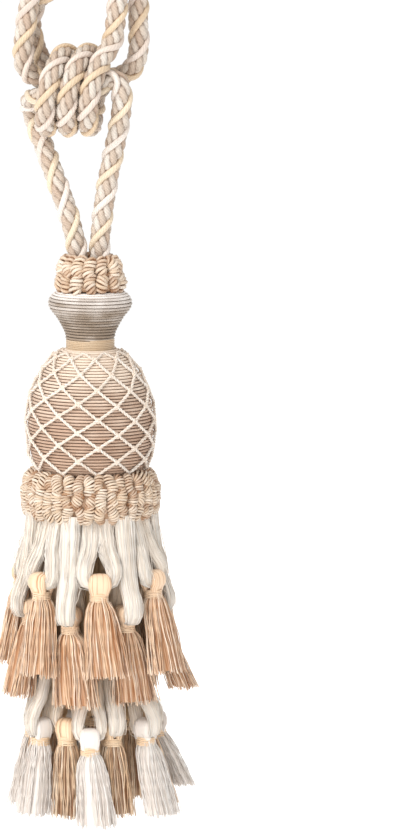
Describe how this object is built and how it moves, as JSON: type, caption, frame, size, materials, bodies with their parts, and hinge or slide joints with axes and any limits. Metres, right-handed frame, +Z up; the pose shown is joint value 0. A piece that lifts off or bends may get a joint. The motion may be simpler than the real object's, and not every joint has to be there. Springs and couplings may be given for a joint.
{
  "type": "curtain tieback tassel",
  "caption": "Doubled rope loops tied in a wrapped knot, with a wound and netted tassel, rings of looped cord and tiers of small fringe tassels hanging from it.",
  "frame": {"origin": "where the bar of the hook bears under the tops of both rope loops", "axes": "+Z up along the tassel's axis, +X to the right seen from the front, -Y towards the viewer; the bar of the hook runs along Y"},
  "size_m": [0.1123, 0.1035, 0.5889],
  "materials": {
    "rope_yarn": "silky viscose rope of gold, ivory and pink-beige strands, slightly lustrous",
    "ruff_cord": "matt looped cord, cream and gold",
    "mould_cord": "fine cord wound closely over the mould, pinkish ivory to beige",
    "satin_band": "satin yarn wound flat, warm gold, soft sheen",
    "ball_cord": "fine cord wound closely over the mould, beige with a pink cast",
    "net_cord": "ivory twisted cord, knotted",
    "ivory_floss": "silky loose floss, ivory",
    "peach_thread": "silky loose thread, peach gold",
    "ivory_thread": "silky loose thread, ivory",
    "gold_thread": "silky loose thread, pale gold"
  },
  "bodies": {
    "root": {"rope_embrace": "rope_yarn", "rope_tassel_loop": "rope_yarn", "head_ruff": "ruff_cord", "head_mould": "mould_cord", "neck_band": "satin_band", "pineapple_ball": "ball_cord", "net": "net_cord", "skirt_ruff": "ruff_cord", "hanks_upper": "ivory_floss", "hanks_lower": "ivory_floss", "tassel_upper_01": "peach_thread", "tassel_upper_02": "peach_thread", "tassel_upper_03": "peach_thread", "tassel_upper_04": "peach_thread", "tassel_upper_05": "peach_thread", "tassel_upper_06": "peach_thread", "tassel_upper_07": "peach_thread", "tassel_upper_08": "peach_thread", "tassel_upper_09": "peach_thread", "tassel_upper_10": "peach_thread", "tassel_upper_11": "peach_thread", "tassel_upper_12": "peach_thread", "tassel_upper_13": "peach_thread", "tassel_upper_14": "peach_thread", "tassel_lower_01": "ivory_thread", "tassel_lower_02": "gold_thread", "tassel_lower_03": "ivory_thread", "tassel_lower_04": "gold_thread", "tassel_lower_05": "ivory_thread", "tassel_lower_06": "gold_thread", "tassel_lower_07": "ivory_thread", "tassel_lower_08": "gold_thread", "tassel_lower_09": "ivory_thread", "tassel_lower_10": "gold_thread", "tassel_lower_11": "ivory_thread", "tassel_lower_12": "gold_thread", "tassel_lower_13": "ivory_thread", "tassel_lower_14": "gold_thread"}
  },
  "joints": []
}
